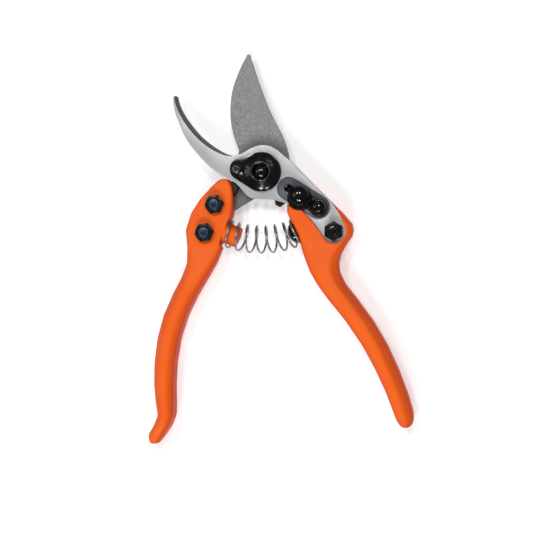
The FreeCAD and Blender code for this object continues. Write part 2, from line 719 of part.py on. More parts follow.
def make_leaf_spring():
    """Thin fork under the button's flange and the tang screw's head, which steadies the catch."""
    leaf = Piece("catch_leaf_spring", (0, 0), size("catch_polar"))
    screw, prong_tip, crotch = math.hypot(*TANG_SCREW_AT), 23.6, 31.0
    inner, outer = 3.1, 4.4
    leaf.pad([
        line((prong_tip, inner), (crotch, inner)),
        line((crotch, inner), (crotch, -inner)),
        line((crotch, -inner), (prong_tip, -inner)),
        line((prong_tip, -inner), (prong_tip, -outer)),
        line((prong_tip, -outer), (screw, -outer)),
        arc((screw, 0), (0, -outer), (0, outer), (outer, 0)),
        line((screw, outer), (prong_tip, outer)),
        line((prong_tip, outer), (prong_tip, inner)),
    ], RECESS_FLOOR, cell("leaf_thick"))
    leaf.round_hole("tang_screw_radius", f"{RECESS_FLOOR} + {cell('leaf_thick')}",
                    cell("leaf_thick"), (screw, 0))
    return leaf


# ---------------------------------------------------------------------------------------------
# Stops and spring
# ---------------------------------------------------------------------------------------------
def make_stops():
    """Rubber block for the closed jaws and rubber pad for the open ones."""
    bumper = Piece("closing_bumper")
    bumper.pad(closed([(6.4, -15.2), (6.9, -18.6), (9.2, -20.0), (12.2, -17.8), (10.8, -14.3)]),
               "5.4", f"{cell('counter_bottom')} - 5.4")

    pad = Piece("opening_stop_pad")
    pad.pad(closed([(-18.0, -4.95), (-15.7, -6.5), (-13.9, -8.6), (-14.8, -11.2), (-16.3, -13.6),
                    (-16.75, -9.9), (-17.25, -7.4)]),
            f"{cell('blade_bottom')} + {cell('blade_thick')} + 0.02", "4.9")


def make_spring_seat():
    """Domed black seat on the hook's handle, with a peg into it."""
    (x, y), direction = spring_seat_place(1)
    seat = Piece("spring_seat")
    radius, long = size("stub_radius"), size("seat_long")
    peg, deep = size("seat_peg_radius"), size("seat_peg_long")
    seat.turned([line((0, -deep), (peg, -deep)), line((peg, -deep), (peg, 0.0)),
                 line((peg, 0.0), (radius, 0.0)), line((radius, 0.0), (radius, long - 3.0)),
                 dome(radius, long - 3.0, long),
                 line((0, long), (0, -deep))])
    turn = Rotation(Vector(0, 0, 1), direction) * Rotation(Vector(0, 1, 0), 90)
    seat.body.Placement = Placement(Vector(x, y, size("coil_level")), turn)
    return seat


def coil_points(per_turn: int = 14):
    """The wire's centre line: a helix whose own axis is bowed, turn by turn."""
    half = math.radians(size("bow_half_angle"))
    count = int(size("coil_turns") * per_turn)
    points = []
    for step in range(count + 1):
        share = step / count
        bow = -half + 2 * half * share
        turn = COIL_START - 2 * math.pi * size("coil_turns") * share
        outward = size("bow_radius") + size("coil_radius") * math.cos(turn)
        points.append(Vector(size("bow_middle_along") + outward * math.sin(bow),
                             size("bow_middle_up") - outward * math.cos(bow),
                             size("coil_level") + size("coil_radius") * math.sin(turn)))
    return points


def make_return_spring():
    """Bowed coil of round wire between the two seats."""
    points = coil_points()
    path = Part.makePolygon(points)
    ring = Part.Wire(Part.Circle(points[0], points[1] - points[0], size("coil_wire") / 2).toShape())
    mitred = 1
    coil = doc.addObject("Part::Feature", "return_spring")
    coil.Label = "return_spring"
    coil.Shape = path.makePipeShell([ring], True, False, mitred)
    PARTS.append(coil)
    return coil


# ---------------------------------------------------------------------------------------------
# Build, check and write
# ---------------------------------------------------------------------------------------------
def check_document():
    """Stop if any object failed or any sub-part has a bad shape."""
    for item in doc.Objects:
        if "Invalid" in item.State or "Error" in item.State:
            raise RuntimeError(f"{item.Name} is in state {item.State}")
    for part in PARTS:
        if part.Shape.isNull() or not part.Shape.isValid():
            raise RuntimeError(f"{part.Label} has no valid shape")


def write_parts():
    """Write each sub-part's solid to its own file."""
    os.makedirs("parts", exist_ok=True)
    for part in PARTS:
        part.Shape.exportStep(f"parts/{part.Label}.step")
        box = part.Shape.BoundBox
        print(f"{part.Label:20s} solids {len(part.Shape.Solids)} volume {part.Shape.Volume:9.1f} "
              f"x {box.XMin:7.2f} {box.XMax:7.2f}  y {box.YMin:7.2f} {box.YMax:7.2f}  "
              f"z {box.ZMin:6.2f} {box.ZMax:6.2f}")


make_cutting_blade()
make_counter_blade()
make_blade_handle()
make_hook_handle()
make_pivot()
make_handle_fixings()
make_catch()
make_leaf_spring()
make_stops()
make_spring_seat()
make_return_spring()
doc.recompute()
check_document()
write_parts()
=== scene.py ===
"""A bypass pruner lying open on a pale table.

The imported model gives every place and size. Each sub-assembly is a class that turns the plain
solids it owns into finished meshes and dresses them in its own finishes.
"""
import logging
import math
from dataclasses import dataclass, field
from enum import Enum
from typing import Callable, Sequence

import bmesh
import bpy
from mathutils import Matrix, Vector


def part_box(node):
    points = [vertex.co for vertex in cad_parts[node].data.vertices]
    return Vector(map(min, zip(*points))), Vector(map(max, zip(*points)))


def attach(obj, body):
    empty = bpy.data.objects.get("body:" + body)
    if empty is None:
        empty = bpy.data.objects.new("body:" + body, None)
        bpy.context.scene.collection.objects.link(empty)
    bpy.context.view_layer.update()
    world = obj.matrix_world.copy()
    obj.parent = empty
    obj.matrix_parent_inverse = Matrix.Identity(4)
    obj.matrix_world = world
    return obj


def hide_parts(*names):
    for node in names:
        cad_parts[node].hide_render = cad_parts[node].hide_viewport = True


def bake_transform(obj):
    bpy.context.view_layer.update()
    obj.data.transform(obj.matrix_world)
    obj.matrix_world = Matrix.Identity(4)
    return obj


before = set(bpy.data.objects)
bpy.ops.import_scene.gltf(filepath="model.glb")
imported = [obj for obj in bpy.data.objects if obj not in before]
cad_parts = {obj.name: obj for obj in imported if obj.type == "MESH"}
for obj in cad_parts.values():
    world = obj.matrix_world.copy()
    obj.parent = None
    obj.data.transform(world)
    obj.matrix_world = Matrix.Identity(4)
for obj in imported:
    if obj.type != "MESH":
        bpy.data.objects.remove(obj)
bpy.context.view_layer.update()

LOG = logging.getLogger("pruner")
MM = 0.001
Colour = tuple[float, float, float]
Span = tuple[float, float]
Triple = tuple[float, float, float]

RECESS_DEPTH = 1.0 * MM
FLAT_ANGLE = math.radians(0.4)
SHARP_DEGREES = 32.0
COIL_DEGREES = 60.0
ALL_SMOOTH_DEGREES = 180.0
EASED_STEPS = 3


class Body(Enum):
    """The moving bodies of the tool."""

    HOOK = "hook_side"
    BLADE = "blade_side"
    CATCH = "thumb_catch"


class Slot(Enum):
    """The record's material slots."""

    BLADE_STEEL = "coated_blade_steel"
    STEEL = "polished_steel"
    ORANGE = "orange_coat"
    BLACK_STEEL = "black_steel"
    BRIGHT = "bright_steel"
    PLASTIC = "black_plastic"
    RUBBER = "black_rubber"


# ---------------------------------------------------------------------------------------------
# Node trees
# ---------------------------------------------------------------------------------------------
class Graph:
    """A thin hand for building a node tree by socket names."""

    def __init__(self, tree: bpy.types.NodeTree) -> None:
        """Take over an empty tree.

        Args:
            tree: The shader or geometry tree to fill.
        """
        self.tree = tree

    def add(self, kind: str, settings: dict | None = None, **values: object) -> bpy.types.Node:
        """Add a node and set it up.

        Args:
            kind: The node's type name.
            settings: Properties of the node itself.
            **values: Socket values or links, with spaces in names written as underscores.

        Returns:
            The new node.
        """
        node = self.tree.nodes.new(kind)
        for name, value in (settings or {}).items():
            setattr(node, name, value)
        for name, value in values.items():
            self.plug(node, name.replace("_", " "), value)
        return node

    def plug(self, node: bpy.types.Node, socket: str | int, value: object) -> None:
        """Set or link one input.

        Args:
            node: The node that is fed.
            socket: The input's name or number.
            value: A constant, or an output socket to link from.
        """
        target = node.inputs[socket]
        if isinstance(value, bpy.types.NodeSocket):
            self.tree.links.new(value, target)
        else:
            target.default_value = value

    def math(self, operation: str, *values: object, clamp: bool = False) -> bpy.types.NodeSocket:
        """Do one sum.

        Args:
            operation: The Math node's operation.
            *values: Its inputs in order.
            clamp: Whether the result is kept between 0 and 1.

        Returns:
            The result's socket.
        """
        node = self.add("ShaderNodeMath", {"operation": operation, "use_clamp": clamp})
        for index, value in enumerate(values):
            self.plug(node, index, value)
        return node.outputs[0]

    def blend(self, factor: object, first: object, second: object) -> bpy.types.NodeSocket:
        """Mix two colours.

        Args:
            factor: How much of the second shows.
            first: The colour at 0.
            second: The colour at 1.

        Returns:
            The mixed colour's socket.
        """
        node = self.add("ShaderNodeMix", {"data_type": "RGBA"})
        self.plug(node, 0, factor)
        self.plug(node, 6, first)
        self.plug(node, 7, second)
        return node.outputs[2]

    def span(self, value: object, low: float, high: float, to_low: float = 0.0,
             to_high: float = 1.0) -> bpy.types.NodeSocket:
        """Stretch a value from one range to another, with soft ends.

        Args:
            value: What is measured.
            low: The value that gives to_low.
            high: The value that gives to_high.
            to_low: The result at low.
            to_high: The result at high.

        Returns:
            The result's socket.
        """
        node = self.add("ShaderNodeMapRange", {"interpolation_type": "SMOOTHSTEP"})
        for index, number in enumerate((value, low, high, to_low, to_high)):
            self.plug(node, index, number)
        return node.outputs[0]


def rgba(colour: Colour) -> tuple[float, float, float, float]:
    """A colour with full opacity."""
    return (*colour, 1.0)


def new_group(name: str, inputs: Sequence[tuple[str, str, object]],
              outputs: Sequence[tuple[str, str]]) -> tuple[Graph, bpy.types.Node, bpy.types.Node]:
    """Make an empty shader group with named sockets.

    Args:
        name: The group's name.
        inputs: Name, socket type and default of each input.
        outputs: Name and socket type of each output.

    Returns:
        The group's graph, its input node and its output node.
    """
    tree = bpy.data.node_groups.new(name, "ShaderNodeTree")
    for label, kind, default in inputs:
        item = tree.interface.new_socket(name=label, in_out="INPUT", socket_type=kind)
        item.default_value = default
    for label, kind in outputs:
        tree.interface.new_socket(name=label, in_out="OUTPUT", socket_type=kind)
    graph = Graph(tree)
    return graph, graph.add("NodeGroupInput"), graph.add("NodeGroupOutput")


class Effects:
    """Shader groups that several finishes share."""

    def __init__(self) -> None:
        """Build each group once."""
        self.wear = self._edge_wear()
        self.grain = self._grain()
        self.strokes = self._strokes()

    @staticmethod
    def _edge_wear() -> bpy.types.NodeTree:
        """Edge mask: where the surface turns sharply, broken up by noise.

        Returns:
            The group, whose Mask is 1 on worn edges.
        """
        graph, given, result = new_group(
            "edge_wear",
            [("Width", "NodeSocketFloat", 0.0006), ("Scatter", "NodeSocketFloat", 900.0),
             ("Amount", "NodeSocketFloat", 1.0)],
            [("Mask", "NodeSocketFloat")])
        rounded = graph.add("ShaderNodeBevel", {"samples": 4}, Radius=given.outputs["Width"])
        flat = graph.add("ShaderNodeNewGeometry")
        turn = graph.add("ShaderNodeVectorMath", {"operation": "DOT_PRODUCT"})
        graph.plug(turn, 0, rounded.outputs["Normal"])
        graph.plug(turn, 1, flat.outputs["Normal"])
        edge = graph.span(turn.outputs["Value"], 0.999, 0.90)
        place = graph.add("ShaderNodeTexCoord")
        noise = graph.add("ShaderNodeTexNoise", Vector=place.outputs["Object"],
                          Scale=given.outputs["Scatter"], Detail=5.0, Roughness=0.6)
        broken = graph.span(noise.outputs["Fac"], 0.34, 0.62, 0.25, 1.0)
        mask = graph.math("MULTIPLY", graph.math("MULTIPLY", edge, broken),
                          given.outputs["Amount"], clamp=True)
        graph.plug(result, "Mask", mask)
        return graph.tree

    @staticmethod
    def _grain() -> bpy.types.NodeTree:
        """Fine speckle over a broad mottle.

        Returns:
            The group, with Height for bump, Speckle and Mottle masks.
        """
        graph, given, result = new_group(
            "fine_grain",
            [("Fine", "NodeSocketFloat", 2500.0), ("Broad", "NodeSocketFloat", 60.0)],
            [("Height", "NodeSocketFloat"), ("Speckle", "NodeSocketFloat"),
             ("Mottle", "NodeSocketFloat")])
        place = graph.add("ShaderNodeTexCoord")
        fine = graph.add("ShaderNodeTexNoise", Vector=place.outputs["Object"],
                         Scale=given.outputs["Fine"], Detail=3.0, Roughness=0.7)
        broad = graph.add("ShaderNodeTexNoise", Vector=place.outputs["Object"],
                          Scale=given.outputs["Broad"], Detail=4.0, Roughness=0.55)
        cells = graph.add("ShaderNodeTexVoronoi", Vector=place.outputs["Object"],
                          Scale=given.outputs["Fine"])
        height = graph.math("MULTIPLY_ADD", cells.outputs["Distance"], 0.4, fine.outputs["Fac"])
        graph.plug(result, "Height", height)
        graph.plug(result, "Speckle", graph.span(fine.outputs["Fac"], 0.32, 0.68))
        graph.plug(result, "Mottle", graph.span(broad.outputs["Fac"], 0.30, 0.70))
        return graph.tree

    @staticmethod
    def _strokes() -> bpy.types.NodeTree:
        """Grinding strokes drawn out along one direction.

        Returns:
            The group, with Height for bump and a Streak mask.
        """
        graph, given, result = new_group(
            "grinding_strokes",
            [("Stretch", "NodeSocketVector", (1.0, 14.0, 6.0)),
             ("Fineness", "NodeSocketFloat", 260.0), ("Turn", "NodeSocketFloat", 0.0)],
            [("Height", "NodeSocketFloat"), ("Streak", "NodeSocketFloat")])
        place = graph.add("ShaderNodeTexCoord")
        turned = graph.add("ShaderNodeVectorRotate", {"rotation_type": "Z_AXIS"},
                           Vector=place.outputs["Object"], Angle=given.outputs["Turn"])
        drawn = graph.add("ShaderNodeVectorMath", {"operation": "MULTIPLY"})
        graph.plug(drawn, 0, turned.outputs[0])
        graph.plug(drawn, 1, given.outputs["Stretch"])
        noise = graph.add("ShaderNodeTexNoise", Vector=drawn.outputs[0],
                          Scale=given.outputs["Fineness"], Detail=6.0, Roughness=0.65)
        graph.plug(result, "Height", noise.outputs["Fac"])
        graph.plug(result, "Streak", graph.span(noise.outputs["Fac"], 0.30, 0.70))
        return graph.tree


# ---------------------------------------------------------------------------------------------
# Finishes
# ---------------------------------------------------------------------------------------------
def new_material(name: str) -> tuple[bpy.types.Material, Graph, bpy.types.Node]:
    """Start a material with only its main shader.

    Args:
        name: The material's name.

    Returns:
        The material, its graph and its Principled shader.
    """
    material = bpy.data.materials.new(name)
    material.use_nodes = True
    graph = Graph(material.node_tree)
    shader = next(n for n in material.node_tree.nodes if n.type == "BSDF_PRINCIPLED")
    return material, graph, shader


def place_group(graph: Graph, tree: bpy.types.NodeTree, **values: object) -> bpy.types.Node:
    """Put a shared effect into a material.

    Args:
        graph: The material's graph.
        tree: The effect's group.
        **values: The group's input values.

    Returns:
        The group node.
    """
    return graph.add("ShaderNodeGroup", {"node_tree": tree}, **values)


@dataclass(frozen=True)
class Grain:
    """How fine a finish's speckle is and how broad its mottle."""

    fine: float
    broad: float

    def place(self, graph: Graph, effects: Effects) -> bpy.types.Node:
        """Put the grain into a material."""
        return place_group(graph, effects.grain, Fine=self.fine, Broad=self.broad)


@dataclass(frozen=True)
class Wear:
    """How wide, how broken and how strong the wear along a finish's edges is."""

    width: float
    scatter: float
    amount: float

    def place(self, graph: Graph, effects: Effects) -> bpy.types.NodeSocket:
        """Put the wear into a material and give its mask."""
        group = place_group(graph, effects.wear, Width=self.width, Scatter=self.scatter,
                            Amount=self.amount)
        return group.outputs["Mask"]


@dataclass(frozen=True)
class Relief:
    """How deep a finish's fine relief is, in metres, and how strongly it shows."""

    depth: float
    strength: float


def bump(graph: Graph, shader: bpy.types.Node, height: bpy.types.NodeSocket,
         relief: Relief) -> None:
    """Raise a surface by a height mask.

    Args:
        graph: The material's graph.
        shader: The shader whose Normal is fed.
        height: The height mask.
        relief: How deep and how strong the relief is.
    """
    node = graph.add("ShaderNodeBump", Height=height, Distance=relief.depth,
                     Strength=relief.strength)
    graph.plug(shader, "Normal", node.outputs["Normal"])


def upward(graph: Graph) -> bpy.types.NodeSocket:
    """How far the surface faces up, from -1 to 1."""
    facing = graph.add("ShaderNodeNewGeometry")
    return graph.add("ShaderNodeSeparateXYZ", Vector=facing.outputs["Normal"]).outputs["Z"]


@dataclass(frozen=True)
class DippedCoat:
    """Satin dipped coat on the handles, rubbed paler on its edges, with painted shade on its
    steep sides.
    """

    name: str = "orange_dipped_coat"
    colour: Colour = (0.84, 0.120, 0.010)
    deep: Colour = (0.73, 0.083, 0.005)
    rubbed: Colour = (0.92, 0.19, 0.035)
    # Painted shade: this dark colour darkens the steep sides of the handles.
    flank_shade: Colour = (0.60, 0.048, 0.003)
    flank_shade_slope: Span = (0.88, 0.40)
    flank_shade_share: float = 0.9
    mottled: float = 0.45
    speckled: float = 0.16
    roughness: Span = (0.40, 0.53)
    specular: float = 0.12
    grain: Grain = Grain(2200.0, 45.0)
    wear: Wear = Wear(0.9 * MM, 600.0, 0.35)
    relief: Relief = Relief(0.06 * MM, 0.6)

    def build(self, effects: Effects) -> bpy.types.Material:
        """Make the material.

        Args:
            effects: The shared shader groups.

        Returns:
            The material.
        """
        material, graph, shader = new_material(self.name)
        grain = self.grain.place(graph, effects)
        worn = self.wear.place(graph, effects)
        tone = graph.blend(graph.math("MULTIPLY", grain.outputs["Mottle"], self.mottled),
                           rgba(self.colour), rgba(self.deep))
        tone = graph.blend(graph.math("MULTIPLY", grain.outputs["Speckle"], self.speckled),
                           tone, rgba(self.rubbed))
        # Painted shade: the steeper the surface, the more it is blended towards the dark side
        # colour.
        level = graph.math("ABSOLUTE", upward(graph))
        tone = graph.blend(graph.span(level, *self.flank_shade_slope, 0.0, self.flank_shade_share), tone,
                           rgba(self.flank_shade))
        graph.plug(shader, "Base Color", graph.blend(worn, tone, rgba(self.rubbed)))
        graph.plug(shader, "Roughness",
                   graph.span(grain.outputs["Speckle"], 0.0, 1.0, *self.roughness))
        shader.inputs["Specular IOR Level"].default_value = self.specular
        bump(graph, shader, grain.outputs["Height"], self.relief)
        return material


@dataclass(frozen=True)
class GroundSteel:
    """Satin forged steel: grinding strokes, worn bright rims with a painted highlight, painted
    shade on steep sides and on the recess floor.
    """

    name: str
    colour: Colour = (0.45, 0.445, 0.45)
    dark: Colour = (0.31, 0.307, 0.312)
    # Rubbed wear with a painted highlight: the pale colour on sharp edges stands for worn edges
    # and the highlights on their chamfers.
    rim: Colour = (0.70, 0.70, 0.70)
    # Painted shade: this near-black colour darkens the steep walls.
    side: Colour = (0.05, 0.049, 0.05)
    # Painted shade: this dark bluish colour is laid on the recess floor.
    floor: Colour | None = None
    floor_level: float = 0.0
    stretch: Triple = (1.0, 14.0, 6.0)
    turn: float = 0.6
    fineness: float = 170.0
    streaked: float = 0.45
    mottled: float = 0.35
    side_shade_slope: Span = (0.97, 0.80)
    recess_shade_slope: Span = (0.5, 0.9)
    recess_shade_fade: Span = (0.4 * MM, 0.2 * MM)
    roughness: Span = (0.36, 0.50)
    metallic: float = 0.25
    grain: Grain = Grain(1800.0, 50.0)
    wear: Wear = Wear(0.5 * MM, 300.0, 0.35)
    relief: Relief = Relief(0.05 * MM, 0.35)

    def build(self, effects: Effects) -> bpy.types.Material:
        """Make the material.

        Args:
            effects: The shared shader groups.

        Returns:
            The material.
        """
        material, graph, shader = new_material(self.name)
        strokes = place_group(graph, effects.strokes, Stretch=self.stretch,
                              Fineness=self.fineness, Turn=self.turn)
        grain = self.grain.place(graph, effects)
        worn = self.wear.place(graph, effects)
        mixed = graph.math("MULTIPLY_ADD", strokes.outputs["Streak"], self.streaked,
                           graph.math("MULTIPLY", grain.outputs["Mottle"], self.mottled))
        tone = graph.blend(mixed, rgba(self.colour), rgba(self.dark))
        height = upward(graph)
        level = graph.math("ABSOLUTE", height)
        # Painted shade on the steep side walls.
        tone = graph.blend(graph.span(level, *self.side_shade_slope), tone, rgba(self.side))
        # Worn edges brightened, as rubbed wear and painted highlight.
        tone = graph.blend(worn, tone, rgba(self.rim))
        # Painted shade on the recess floor: upward faces just below its level are darkened.
        if self.floor is not None:
            place = graph.add("ShaderNodeTexCoord")
            split = graph.add("ShaderNodeSeparateXYZ", Vector=place.outputs["Object"])
            start, full = self.recess_shade_fade
            below = graph.span(split.outputs["Z"], self.floor_level + start,
                               self.floor_level + full)
            up = graph.span(height, *self.recess_shade_slope)
            tone = graph.blend(graph.math("MULTIPLY", below, up), tone, rgba(self.floor))
        graph.plug(shader, "Base Color", tone)
        shader.inputs["Metallic"].default_value = self.metallic
        graph.plug(shader, "Roughness",
                   graph.span(strokes.outputs["Streak"], 0.0, 1.0, *self.roughness))
        bump(graph, shader, strokes.outputs["Height"], self.relief)
        return material


@dataclass(frozen=True)
class BlastedBlade:
    """Fine blasted grey coat on the blade, darker round the pivot and on the tang."""

    name: str = "blasted_blade"
    colour: Colour = (0.205, 0.201, 0.203)
    dark: Colour = (0.095, 0.093, 0.095)
    speck: Colour = (0.37, 0.365, 0.362)
    rim: Colour = (0.07, 0.07, 0.07)
    shadowed: Colour = (0.10, 0.10, 0.102)
    pivot_ring: Span = (20.5 * MM, 15.5 * MM)
    pivot_share: float = 0.75
    tang_fade: Span = (-5.0 * MM, -12.0 * MM)
    tang_share: float = 0.8
    evenness: Span = (-0.3, 0.6)
    roughness: Span = (0.5, 0.68)
    metallic: float = 0.25
    grain: Grain = Grain(1100.0, 70.0)
    wear: Wear = Wear(0.6 * MM, 400.0, 0.8)
    relief: Relief = Relief(0.06 * MM, 0.6)

    def build(self, effects: Effects) -> bpy.types.Material:
        """Make the material.

        Args:
            effects: The shared shader groups.

        Returns:
            The material.
        """
        material, graph, shader = new_material(self.name)
        grain = self.grain.place(graph, effects)
        worn = self.wear.place(graph, effects)
        tone = graph.blend(grain.outputs["Speckle"], rgba(self.dark), rgba(self.speck))
        tone = graph.blend(graph.math("MULTIPLY_ADD", grain.outputs["Mottle"], *self.evenness),
                           tone, rgba(self.colour))
        place = graph.add("ShaderNodeTexCoord")
        flat = graph.add("ShaderNodeVectorMath", {"operation": "MULTIPLY"})
        graph.plug(flat, 0, place.outputs["Object"])
        graph.plug(flat, 1, (1.0, 1.0, 0.0))
        reach = graph.add("ShaderNodeVectorMath", {"operation": "LENGTH"})
        graph.plug(reach, 0, flat.outputs[0])
        ring = graph.span(reach.outputs["Value"], *self.pivot_ring, 0.0, self.pivot_share)
        tone = graph.blend(ring, tone, rgba(self.shadowed))
        along = graph.add("ShaderNodeSeparateXYZ", Vector=place.outputs["Object"])
        tang = graph.span(along.outputs["Y"], *self.tang_fade, 0.0, self.tang_share)
        tone = graph.blend(tang, tone, rgba(self.shadowed))
        graph.plug(shader, "Base Color", graph.blend(worn, tone, rgba(self.rim)))
        shader.inputs["Metallic"].default_value = self.metallic
        graph.plug(shader, "Roughness",
                   graph.span(grain.outputs["Speckle"], 0.0, 1.0, *self.roughness))
        bump(graph, shader, grain.outputs["Height"], self.relief)
        return material


@dataclass(frozen=True)
class BlackGloss:
    """Black hardware, glossy or matte, with greyed edges and faint smears."""

    name: str
    colour: Colour = (0.0016, 0.0015, 0.0018)
    worn: Colour = (0.022, 0.022, 0.023)
    roughness: float = 0.10
    smeared: float = 0.08
    specular: float = 0.45
    grain: Grain = Grain(900.0, 180.0)
    wear: Wear = Wear(0.3 * MM, 700.0, 0.35)
    relief: Relief = Relief(0.02 * MM, 0.3)

    def build(self, effects: Effects) -> bpy.types.Material:
        """Make the material.

        Args:
            effects: The shared shader groups.

        Returns:
            The material.
        """
        material, graph, shader = new_material(self.name)
        grain = self.grain.place(graph, effects)
        worn = self.wear.place(graph, effects)
        graph.plug(shader, "Base Color", graph.blend(worn, rgba(self.colour), rgba(self.worn)))
        graph.plug(shader, "Roughness",
                   graph.span(grain.outputs["Mottle"], 0.0, 1.0, self.roughness,
                              self.roughness + self.smeared))
        shader.inputs["Specular IOR Level"].default_value = self.specular
        bump(graph, shader, grain.outputs["Height"], self.relief)
        return material


@dataclass(frozen=True)
class DrawnWire:
    """Bright drawn steel with soft drawing lines."""

    name: str = "drawn_wire"
    colour: Colour = (0.40, 0.395, 0.40)
    dark: Colour = (0.20, 0.197, 0.20)
    roughness: Span = (0.30, 0.44)
    metallic: float = 1.0
    grain: Grain = Grain(1500.0, 220.0)
    relief: Relief = Relief(0.02 * MM, 0.3)

    def build(self, effects: Effects) -> bpy.types.Material:
        """Make the material.

        Args:
            effects: The shared shader groups.

        Returns:
            The material.
        """
        material, graph, shader = new_material(self.name)
        grain = self.grain.place(graph, effects)
        graph.plug(shader, "Base Color", graph.blend(grain.outputs["Mottle"], rgba(self.colour),
                                                     rgba(self.dark)))
        shader.inputs["Metallic"].default_value = self.metallic
        graph.plug(shader, "Roughness",
                   graph.span(grain.outputs["Speckle"], 0.0, 1.0, *self.roughness))
        bump(graph, shader, grain.outputs["Height"], self.relief)
        return material


class Finishes:
    """Every finish of the tool, made once."""

    def __init__(self) -> None:
        """Build the shared groups and the materials."""
        effects = Effects()
        recess_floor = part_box("counter_blade")[1].z - RECESS_DEPTH
        self.orange = DippedCoat().build(effects)
        self.blade = BlastedBlade().build(effects)
        # The counter-blade's recess floor gets painted shade in a dark bluish grey.
        self.counter = GroundSteel("counter_blade_steel", floor=(0.075, 0.072, 0.092),
                                   floor_level=recess_floor, turn=0.75).build(effects)
        self.washer = GroundSteel("washer_steel").build(effects)
        self.black = BlackGloss("black_hardware").build(effects)
        self.moulded = BlackGloss("black_moulded", roughness=0.07).build(effects)
        self.nuts = BlackGloss("black_oxide_nuts", worn=(0.03, 0.035, 0.04), roughness=0.16,
                               colour=(0.0030, 0.0038, 0.0048)).build(effects)
        # Painted reflection: the blue tint of these bolt ends stands for a bluish light mirrored
        # in them.
        self.thread = BlackGloss("thread_ends_painted_blue_reflection", colour=(0.004, 0.010, 0.020),
                                 worn=(0.02, 0.06, 0.12), roughness=0.25).build(effects)
        # Painted highlight: these blue crest rings stand for the light rings on the bolt ends'
        # edges.
        self.blue_painted_light = BlackGloss("thread_crests_painted_blue_highlight", colour=(0.020, 0.085, 0.19),
                                worn=(0.05, 0.17, 0.33), roughness=0.3).build(effects)
        # Painted highlight: this grey ring colour stands for the highlight on the inner edge of
        # the pivot nut's dish.
        self.lip = BlackGloss("dish_lip_painted_highlight", colour=(0.045, 0.045, 0.043),
                              worn=(0.16, 0.16, 0.155), roughness=0.2).build(effects)
        self.rubber = BlackGloss("black_rubber", colour=(0.008, 0.008, 0.008), roughness=0.62,
                                 relief=Relief(0.06 * MM, 0.3), specular=0.3).build(effects)
        self.wire = DrawnWire().build(effects)
        self.small_screw = BlackGloss("small_screw", colour=(0.006, 0.006, 0.006),
                                      roughness=0.3).build(effects)
        self.screw_rim = DrawnWire("small_screw_rim", colour=(0.34, 0.335, 0.34),
                                   dark=(0.12, 0.12, 0.125)).build(effects)
        self.hidden_black = BlackGloss("dull_black", roughness=0.55, specular=0.2).build(effects)
        self.scarred = BlackGloss("scarred_black", roughness=0.14, grain=Grain(420.0, 180.0),
                                  relief=Relief(0.3 * MM, 0.3)).build(effects)


# ---------------------------------------------------------------------------------------------
# Mesh work
# ---------------------------------------------------------------------------------------------
def new_object(name: str, mesh: bpy.types.Mesh) -> bpy.types.Object:
    """Put a mesh into the scene at the origin.

    Args:
        name: The object's name.
        mesh: Its mesh.

    Returns:
        The object.
    """
    made = bpy.data.objects.new(name, mesh)
    bpy.context.scene.collection.objects.link(made)
    return made


def settle(piece: bpy.types.Object) -> bpy.types.Object:
    """Turn a piece's modifiers into its plain mesh.

    Args:
        piece: The object with modifiers.

    Returns:
        The same object, with none left.
    """
    bpy.context.view_layer.update()
    graph = bpy.context.evaluated_depsgraph_get()
    mesh = bpy.data.meshes.new_from_object(piece.evaluated_get(graph))
    piece.modifiers.clear()
    piece.data = mesh
    return piece


def shade(piece: bpy.types.Object, degrees: float) -> None:
    """Smooth a piece except over edges sharper than an angle.

    Args:
        piece: The piece.
        degrees: The angle.
    """
    mesh = piece.data
    mesh.polygons.foreach_set("use_smooth", [True] * len(mesh.polygons))
    mesh.set_sharp_from_angle(angle=math.radians(degrees))
    mesh.update()


def merged_copy(node: str, name: str, weld: float = 0.02 * MM) -> bpy.types.Object:
    """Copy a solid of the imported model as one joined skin.

    Args:
        node: The solid's node.
        name: The new piece's name.
        weld: The distance below which corners become one.

    Returns:
        The copy.
    """
    work = bmesh.new()
    work.from_mesh(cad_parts[node].data)
    bmesh.ops.remove_doubles(work, verts=work.verts, dist=weld)
    bmesh.ops.dissolve_degenerate(work, edges=work.edges, dist=weld)
    mesh = bpy.data.meshes.new(name)
    work.to_mesh(mesh)
    work.free()
    mesh.materials.clear()
    return new_object(name, mesh)


def machined(node: str, name: str, edge: float) -> bpy.types.Object:
    """Finish a machined solid: flat faces joined up and every hard edge eased.

    Args:
        node: The solid's node.
        name: The new piece's name.
        edge: The width of the eased edge, in metres.

    Returns:
        The finished piece.
    """
    piece = merged_copy(node, name)
    work = bmesh.new()
    work.from_mesh(piece.data)
    bmesh.ops.dissolve_limit(work, angle_limit=FLAT_ANGLE, verts=work.verts,
                             edges=work.edges)
    work.to_mesh(piece.data)
    work.free()
    bevel = piece.modifiers.new("eased", "BEVEL")
    bevel.width = edge
    bevel.segments = EASED_STEPS
    bevel.limit_method = "ANGLE"
    bevel.angle_limit = math.radians(SHARP_DEGREES)
    bevel.use_clamp_overlap = True
    bevel.harden_normals = False
    settle(piece)
    shade(piece, SHARP_DEGREES)
    return piece


